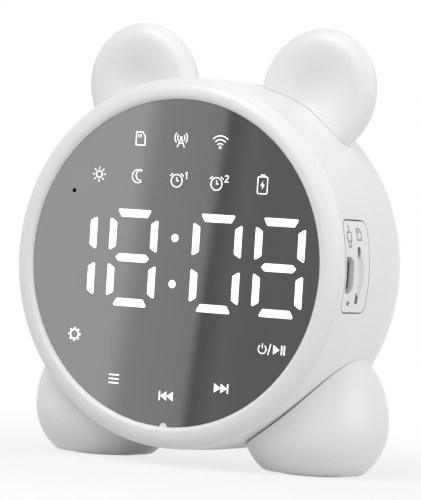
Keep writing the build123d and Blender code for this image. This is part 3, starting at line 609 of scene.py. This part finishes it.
case_piece("digit_light", marks_mesh("digit_light", digit_marks(), on_face), "lit_white")
case_piece("sign_light", marks_mesh("sign_light", sign_marks(), on_face), "lit_white")


# Printed signs on the port plate, drawn in depth behind the mirror's face and height
PLUG_PLACE = (4.9, 8.3)
CARD_SIGN_PLACE = (9.3, 9.0)
PRINT = 0.3
CLEAR_OF_PLATE = 60.0


def plate_surface():
    mesh = frame["nodes"]["port_plate"].data
    corners = [v.co for v in mesh.vertices]
    return BVHTree.FromPolygons(corners, [tuple(f.vertices) for f in mesh.polygons])


PLATE = plate_surface()


def on_plate(depth, z, lift):
    """The point of the port plate's outside at a depth and height, lifted off it."""
    start = FACE_MIDDLE + Vector((CLEAR_OF_PLATE, depth, z)) * MM
    place, normal = PLATE.ray_cast(start, Vector((-1, 0, 0)))[:2]
    return place + normal * lift * MM


def plug():
    """A plug with its lead, pointing down at its opening."""
    body = rounded([(-0.85, -0.9), (0.85, -0.9), (0.85, 1.1), (-0.85, 1.1)], (0.3,))
    tip = line([(-0.5, -0.9), (-0.5, -2.1), (0.5, -2.1), (0.5, -0.9)], PRINT)
    return line(body, PRINT, closed=True) + tip + line([(0, 1.1), (0, 2.6)], PRINT)


def port_marks():
    return moved(plug(), *PLUG_PLACE) + moved(memory_card(PRINT), *CARD_SIGN_PLACE)


case_piece("port_signs", marks_mesh("port_signs", port_marks(), on_plate), "black_mask", INK)


# Thumb scoop beside the card slot, in the plate's recess, and a dark sheet on the slot's rear wall that
# paints the shade inside the slot.
# Places are the distance right of the barrel's axis, the depth behind the mirror's face and the height.
# The recess is an arc: the depth of its chord, half its length and its reach.
BARREL_R = 42.1
SWELL_R = 298.9
SWELL_TOP = 20.0
SLOT_REAR = 9.45
SLOT_END = 5.7
SLOT_END_R = 0.65
RECESS = (8.75, 6.35, 2.75)
RECESS_FLOOR = 40.72
RECESS_FIT = 0.01
SCOOP_FILL = 5.58
SCOOP_HALF = 4.62
SCOOP_REACH = 1.55
SCOOP_SINK = 1.1
SCOOP_ROWS = 56
SCOOP_STEPS = 10
FILL_STEPS = 3
SHEET_WELD = 2e-6
MOUTH_FLOOR = 39.2
MOUTH_HALF = 6.3
MOUTH_SKIN = 0.03


def bow(z, start, half, reach):
    """The depth at a height of an arc over an upright chord of half length at start."""
    radius = (half**2 + reach**2) / (2 * reach)
    return start + reach - radius + math.sqrt(radius**2 - z**2)


def on_barrel(depth, z, sink=0.0):
    """How far right of the axis the barrel's swelling wall is at a depth and height, less a sink."""
    radius = BARREL_R - (SWELL_TOP - depth) ** 2 / (2 * SWELL_R)
    return math.sqrt(radius**2 - z**2) - sink


def scoop_sink(z, share=0.0):
    """How deep the scoop is at a height, at a share of its reach."""
    if abs(z) >= SCOOP_HALF:
        return 0.0
    return SCOOP_SINK * (1 - share**2) * math.sqrt(1 - (z / SCOOP_HALF) ** 2)


def scoop_row(z):
    """Depths and sinks across the recess at one height: the scoop, then the filled rest."""
    edge = bow(z, SLOT_REAR, SCOOP_HALF, SCOOP_REACH) if abs(z) < SCOOP_HALF else SLOT_REAR
    end = bow(z, *RECESS) - RECESS_FIT
    row = []
    for n in range(SCOOP_STEPS + 1):
        share = n / SCOOP_STEPS
        row.append((SLOT_REAR + (edge - SLOT_REAR) * share, scoop_sink(z, share)))
    return row + [(edge + (end - edge) * (n + 1) / FILL_STEPS, 0.0) for n in range(FILL_STEPS)]


def closed_sheet(name, tops, lows):
    """A closed mesh between two like grids of points in millimetres."""
    build = bmesh.new()

    def points(grid):
        return [[build.verts.new(FACE_MIDDLE + Vector(p) * MM) for p in row] for row in grid]

    upper, lower = points(tops), points(lows)
    last_row, last = len(tops) - 1, len(tops[0]) - 1
    for n in range(last_row):
        for k in range(last):
            for grid in (upper, lower):
                build.faces.new([grid[n][k], grid[n][k + 1], grid[n + 1][k + 1], grid[n + 1][k]])
        for k in (0, last):
            build.faces.new([upper[n][k], upper[n + 1][k], lower[n + 1][k], lower[n][k]])
    for n in (0, last_row):
        for k in range(last):
            build.faces.new([upper[n][k], upper[n][k + 1], lower[n][k + 1], lower[n][k]])
    bmesh.ops.remove_doubles(build, verts=build.verts, dist=SHEET_WELD)
    bmesh.ops.dissolve_degenerate(build, edges=build.edges, dist=SHEET_WELD / 2)
    return smoothed(finished(build, name))


def heights(half):
    """Evenly spaced heights from half below the middle to half above it."""
    return [half * (2 * n / SCOOP_ROWS - 1) for n in range(SCOOP_ROWS + 1)]


def scoop_mesh():
    """Fills the plate's recess up to the barrel's wall, but for the scoop."""
    tops, lows = [], []
    for z in heights(SCOOP_FILL):
        row = scoop_row(z)
        tops.append([(on_barrel(depth, z, sink), depth, z) for depth, sink in row])
        lows.append([(RECESS_FLOOR, depth, z) for depth, sink in row])
    return closed_sheet("card_scoop", tops, lows)


def slot_shade_sheet_mesh():
    """A thin dark sheet on the slot's rear wall that paints the shade inside the slot, rounded with the
    slot's ends.
    """
    tops, lows = [], []
    for z in heights(MOUTH_HALF):
        past = max(0.0, abs(z) - SLOT_END)
        wall = SLOT_REAR - SLOT_END_R + math.sqrt(SLOT_END_R**2 - past**2) - RECESS_FIT
        edge = on_barrel(wall, z, scoop_sink(z)) - MOUTH_SKIN
        tops.append([(edge, wall - MOUTH_SKIN, z), (MOUTH_FLOOR, wall - MOUTH_SKIN, z)])
        lows.append([(edge, wall, z), (MOUTH_FLOOR, wall, z)])
    return closed_sheet("card_slot_painted_shade", tops, lows)


case_piece("card_scoop", scoop_mesh(), "white_gloss")
# A dark sheet that paints the shade inside the card slot. It is not a part of the clock.
case_piece("card_slot_painted_shade", slot_shade_sheet_mesh(), "chip_black", SLOT_PAINTED_SHADE)


# Cross-head screws in the rear wells
SCREW_CIRCLE = 33.5
SCREW_ANGLES = (25, 155, 205, 335)
SCREW_SPIN = 0.6
CUTTER_OVER = 0.1
HEAD_SIDES = 48
SHANK_SIDES = 24
CROWN_GRID = (64, 48)
SCREW_SIZES = {
    "Head radius": 2.3,
    "Head height": 1.5,
    "Crown radius": 4.2,
    "Recess length": 2.9,
    "Recess width": 0.55,
    "Recess depth": 0.9,
    "Shank radius": 1.15,
    "Shank length": 10.0,
}


def screw_tree():
    """A node tree that puts a crowned cross-head screw on each point, facing the back."""
    tree = bpy.data.node_groups.new("cross_head_screws", "GeometryNodeTree")
    new_socket = tree.interface.new_socket
    new_socket("Points", in_out="INPUT", socket_type="NodeSocketGeometry")
    keys = {}
    for name in SCREW_SIZES:
        keys[name] = new_socket(name, in_out="INPUT", socket_type="NodeSocketFloat").identifier
    new_socket("Screws", in_out="OUTPUT", socket_type="NodeSocketGeometry")
    inlet = tree.nodes.new("NodeGroupInput").outputs
    size = {name: Wire(tree, inlet[name]) for name in SCREW_SIZES}
    points = Wire(tree, inlet["Points"])

    def vector(x, y, z):
        return points.node("ShaderNodeCombineXYZ", None, {0: x, 1: y, 2: z})

    def raised(shape, z):
        inputs = {"Geometry": shape, "Translation": vector(0, 0, z)}
        return points.node("GeometryNodeTransform", None, inputs)

    def bar(radius, height, corners):
        inputs = {"Vertices": corners, "Radius": radius, "Depth": height}
        return points.node("GeometryNodeMeshCylinder", None, inputs)

    def cut(shape, others, operation):
        """A shape's overlap with others, or the shape with the others cut out of it."""
        made = points.node("GeometryNodeMeshBoolean", {"operation": operation})
        for other in [shape] + others if operation == "INTERSECT" else others:
            tree.links.new(other.socket, made.socket.node.inputs[1])
        if operation == "DIFFERENCE":
            tree.links.new(shape.socket, made.socket.node.inputs[0])
        return made

    height = size["Head height"]
    drum = raised(bar(size["Head radius"], height, HEAD_SIDES), height * 0.5)
    inputs = {"Segments": CROWN_GRID[0], "Rings": CROWN_GRID[1], "Radius": size["Crown radius"]}
    ball = points.node("GeometryNodeMeshUVSphere", None, inputs)
    head = cut(drum, [raised(ball, height - size["Crown radius"])], "INTERSECT")
    middle = height - size["Recess depth"] * 0.5 + CUTTER_OVER / 2 * MM
    deep = size["Recess depth"] + CUTTER_OVER * MM
    long, wide = size["Recess length"], size["Recess width"]
    slots = []
    for extent in (vector(long, wide, deep), vector(wide, long, deep)):
        block = points.node("GeometryNodeMeshCube", None, {"Size": extent})
        slots.append(raised(block, middle))
    head = cut(head, slots, "DIFFERENCE")
    shank = bar(size["Shank radius"], size["Shank length"], SHANK_SIDES)
    shank = raised(shank, size["Shank length"] * -0.5)
    screw = points.node("GeometryNodeJoinGeometry")
    for shape in (head, shank):
        tree.links.new(shape.socket, screw.socket.node.inputs[0])
    spin = points.node("GeometryNodeInputIndex") * SCREW_SPIN
    inputs = {"Points": points, "Instance": screw, "Rotation": vector(-math.pi / 2, spin, 0)}
    placed = points.node("GeometryNodeInstanceOnPoints", None, inputs)
    real = points.node("GeometryNodeRealizeInstances", None, {"Geometry": placed})
    inputs = {"Geometry": real, "Material": FINISHES["screw_steel"]}
    done = points.node("GeometryNodeSetMaterial", None, inputs)
    outlet = tree.nodes.new("NodeGroupOutput")
    tree.links.new(done.socket, outlet.inputs["Screws"])
    return tree, keys


def screw_mesh():
    """The rear screws on their seats, as a plain mesh."""
    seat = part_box("rear_screws")[1].y - SCREW_SIZES["Head height"] * MM
    middle = Vector((0, seat, FACE_MIDDLE.z))
    spots = [middle + outward(math.radians(angle)) * SCREW_CIRCLE * MM for angle in SCREW_ANGLES]
    mesh = bpy.data.meshes.new("screw_points")
    mesh.from_pydata(spots, [], [])
    carrier = bpy.data.objects.new("screw_points", mesh)
    bpy.context.scene.collection.objects.link(carrier)
    modifier = carrier.modifiers.new("screws", "NODES")
    tree, keys = screw_tree()
    modifier.node_group = tree
    for name, identifier in keys.items():
        modifier[identifier] = SCREW_SIZES[name] * MM
    graph = bpy.context.evaluated_depsgraph_get()
    made = bpy.data.meshes.new_from_object(carrier.evaluated_get(graph))
    bpy.data.objects.remove(carrier)
    return smoothed(made)


screws = case_piece("cross_head_screws", screw_mesh(), "screw_steel")
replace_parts(screws, "rear_screws")


# Rubber surround of the loudspeaker, glued to the frame and to the cone's rim.
# Its section is in distance from the axis and depth behind the mirror's face.
ROLL_SKIN = 0.3
ROLL_MIDDLE = 16.2
ROLL_R = 1.15
ROLL_BASE = 36.6
ROLL_START = 8
ROLL_HARD_EDGE = 50.0
FRAME_LIP = ((18.75, 36.75), (17.6, 36.75))
CONE_LIP = ((14.95, 36.2), (14.75, 35.85), (14.4, 35.5), (13.9, 35.02))
SURROUND_SECTORS = 16
SECTOR_STEPS = 6


def surround_section():
    roll = arc(ROLL_MIDDLE, ROLL_BASE, ROLL_R, ROLL_START, 180 - ROLL_START)
    left, right = sides(FRAME_LIP + tuple(roll) + CONE_LIP, ROLL_SKIN)
    return left + right[::-1]


def sector_mesh(name, section, start, size):
    """A section turned about the barrel's axis through an angle, closed at both ends."""
    build = bmesh.new()
    cuts = []
    for n in range(SECTOR_STEPS + 1):
        way = outward(start + size * n / SECTOR_STEPS)
        spots = [way * radius + Vector((0, depth, 0)) for radius, depth in section]
        cuts.append([build.verts.new(FACE_MIDDLE + spot * MM) for spot in spots])
    for near, far in zip(cuts, cuts[1:]):
        for n in range(len(section)):
            build.faces.new([near[n - 1], near[n], far[n], far[n - 1]])
    build.faces.new(cuts[0])
    build.faces.new(cuts[-1][::-1])
    return smoothed(finished(build, name), ROLL_HARD_EDGE)


def add_surround():
    """Sectors of the surround, each a piece of its own in place of the CAD surround."""
    section = surround_section()
    size = math.tau / SURROUND_SECTORS
    for n in range(SURROUND_SECTORS):
        name = f"surround_sector_{n + 1}"
        piece = new_object(name, sector_mesh(name, section, n * size, size), "roll_rubber")
        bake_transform(piece)
        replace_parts(piece, "speaker_surround")


add_surround()

# CAD nodes take their finishes
NODE_SLOTS = {row["node"]: row["material_slot"] for row in frame["record"]["subparts"]}
for node, slot in NODE_SLOTS.items():
    mesh = frame["nodes"][node].data
    mesh.materials.clear()
    mesh.materials.append(FINISHES[slot])
OUTER = (
    "front_bezel", "body_shell", "rear_cover", "port_plate",
    "left_ear", "right_ear", "left_foot", "right_foot",
)
for node in OUTER:
    dressed_copy(node, NODE_SLOTS[node])


# Stage
def add_camera():
    """Puts the camera where the photograph's was, aimed so that the mirror's middle falls on its pixel."""
    turn, rise, roll = (math.radians(a) for a in (CAMERA_AZIMUTH, CAMERA_RISE, CAMERA_ROLL))
    back = Vector((math.sin(turn) * math.cos(rise), -math.cos(turn) * math.cos(rise), math.sin(rise)))
    level = Vector((math.cos(turn), math.sin(turn), 0))
    upright = back.cross(level)
    right = level * math.cos(roll) + upright * math.sin(roll)
    up = upright * math.cos(roll) - level * math.sin(roll)
    across = (PHOTO_SIZE[0] / 2 - FACE_MIDDLE_PIXEL[0]) / FOCAL_PIXELS
    down = (PHOTO_SIZE[1] / 2 - FACE_MIDDLE_PIXEL[1]) / FOCAL_PIXELS
    ahead = (-back + right * across - up * down).normalized()
    right = (right - ahead * right.dot(ahead)).normalized()
    up = right.cross(ahead)
    lens = bpy.data.cameras.new("camera")
    lens.sensor_width = SENSOR_MM
    lens.lens = FOCAL_PIXELS * SENSOR_MM / PHOTO_SIZE[1]
    camera = bpy.data.objects.new("camera", lens)
    turned = Matrix((right, up, -ahead)).transposed().to_4x4()
    camera.matrix_world = Matrix.Translation(FACE_MIDDLE + back * CAMERA_DISTANCE) @ turned
    bpy.context.scene.collection.objects.link(camera)
    bpy.context.scene.camera = camera


def facing(place, target):
    """A placing matrix whose Z axis points from a place to a target, with Y as upright as it can be."""
    turn = (target - place).to_track_quat("Z", "Y")
    return Matrix.Translation(place) @ turn.to_matrix().to_4x4()


def add_lamp(name, place, size, power):
    """A round soft lamp that shines at the mirror's middle."""
    light = bpy.data.lights.new(name, "AREA")
    light.shape = "DISK"
    light.size = size
    light.energy = power
    lamp = bpy.data.objects.new(name, light)
    lamp.matrix_world = facing(Vector(place), FACE_MIDDLE) @ Matrix.Rotation(math.pi, 4, "X")
    bpy.context.scene.collection.objects.link(lamp)


WORLD_LIGHT = 0.31
FLOOR_GLOW = 0.8
FLOOR_FADE = (0.05, 0.16)
FLOOR_TONE = 0.7
FLOOR_SIZE = 2.0
FLOOR_DROP = 0.00005
LAMPS = (
    ("key_left", (-0.35, -0.75, 1.1), 0.7, 4.4),
    ("near_front", (0.05, -0.45, 0.45), 0.5, 1.05),
    ("top", (0.0, 0.0, 1.3), 0.9, 1.4),
    ("right", (1.2, 0.1, 0.4), 1.0, 5.4),
    ("back_right", (0.8, 0.8, 0.9), 0.7, 1.0),
)


def shown_rays(tree):
    """1 for what the camera sees, straight, in a reflection or through glass, and 0 for lighting rays."""
    path = tree.nodes.new("ShaderNodeLightPath").outputs
    straight = Wire(tree, path["Is Camera Ray"])
    mirrored = Wire(tree, path["Is Glossy Ray"])
    through = Wire(tree, path["Is Transmission Ray"])
    return straight + mirrored + through > 0.5


def stage_material(name):
    """A material with no shader yet. Gives it and its Object coordinates."""
    material = bpy.data.materials.new(name)
    material.use_nodes = True
    tree = material.node_tree
    tree.nodes.clear()
    return material, Wire(tree, tree.nodes.new("ShaderNodeTexCoord").outputs["Object"])


def surface(shader):
    """Makes a shader the one that its material shows."""
    out = shader.tree.nodes.new("ShaderNodeOutputMaterial")
    shader.tree.links.new(shader.socket, out.inputs["Surface"])


def add_world():
    """White to the camera and in reflections, and an even soft light on everything else."""
    world = bpy.data.worlds.new("studio")
    bpy.context.scene.world = world
    world.use_nodes = True
    tree = world.node_tree
    strength = shown_rays(tree).between(0.0, 1.0, WORLD_LIGHT, 1.0)
    ground = tree.nodes["Background"]
    ground.inputs["Color"].default_value = grey(1.0)
    tree.links.new(strength.socket, ground.inputs["Strength"])


def add_floor():
    """A pale floor that keeps the shadow and fades into the white backdrop."""
    bpy.ops.mesh.primitive_plane_add(size=FLOOR_SIZE, location=(0, 0, -FLOOR_DROP))
    floor = bpy.context.object
    floor.name = "floor"
    material, place = stage_material("floor")
    reach = place.node("ShaderNodeVectorMath", {"operation": "LENGTH"}, {0: place}, 1)
    seen = shown_rays(place.tree)
    matt = place.node("ShaderNodeBsdfDiffuse", None, {"Color": grey(FLOOR_TONE)})
    glow = place.node("ShaderNodeEmission", None, {"Color": grey(1.0), "Strength": 1.0})
    pale = place.node("ShaderNodeMixShader", None, {0: seen * FLOOR_GLOW, 1: matt, 2: glow})
    clear = place.node("ShaderNodeBsdfTransparent")
    edge = seen * reach.between(*FLOOR_FADE)
    surface(place.node("ShaderNodeMixShader", None, {0: edge, 1: pale, 2: clear}))
    floor.data.materials.append(material)


CARD_DISTANCE = 0.6
CARD_SIZE = 0.5
CARD_SEEN = 0.058
CARD_SLANT = 0.085
CARD_TONES = (
    (0.0, grey(0.61)),
    (0.33, grey(0.605)),
    (0.4, grey(0.41)),
    (0.605, grey(0.372)),
    (0.635, grey(0.16)),
    (0.66, grey(0.17)),
    (0.72, grey(0.225)),
    (0.8, grey(0.205)),
    (1.0, grey(0.205)),
)


def add_mirror_card():
    """A shaded card to the front left, which is what the mirror shows to the camera."""
    turn = math.radians(CAMERA_AZIMUTH)
    way = Vector((-math.sin(turn), -math.cos(turn), 0))
    place = FACE_MIDDLE + way * CARD_DISTANCE
    bpy.ops.mesh.primitive_plane_add(size=CARD_SIZE)
    card = bpy.context.object
    card.name = "mirror_card"
    across = Vector((math.cos(turn), -math.sin(turn), 0))
    upright = Vector((0, 0, 1))
    axes = Matrix((across, upright, across.cross(upright))).transposed().to_4x4()
    card.matrix_world = Matrix.Translation(place) @ axes
    material, spot = stage_material("mirror_card")
    sideways = spot.node("ShaderNodeSeparateXYZ", None, {0: spot}, 0)
    height = spot.node("ShaderNodeSeparateXYZ", None, {0: spot}, 1)
    share = (sideways - height * CARD_SLANT).between(-CARD_SEEN, CARD_SEEN)
    shade = share.node("ShaderNodeValToRGB", {"stops": CARD_TONES}, {0: share})
    surface(spot.node("ShaderNodeEmission", None, {"Color": shade, "Strength": 1.0}))
    card.data.materials.append(material)
    card.visible_camera = False
    card.visible_shadow = False
    card.visible_diffuse = False


add_camera()
add_world()
add_floor()
add_mirror_card()
for lamp in LAMPS:
    add_lamp(*lamp)
bpy.context.scene.view_settings.view_transform = "Standard"
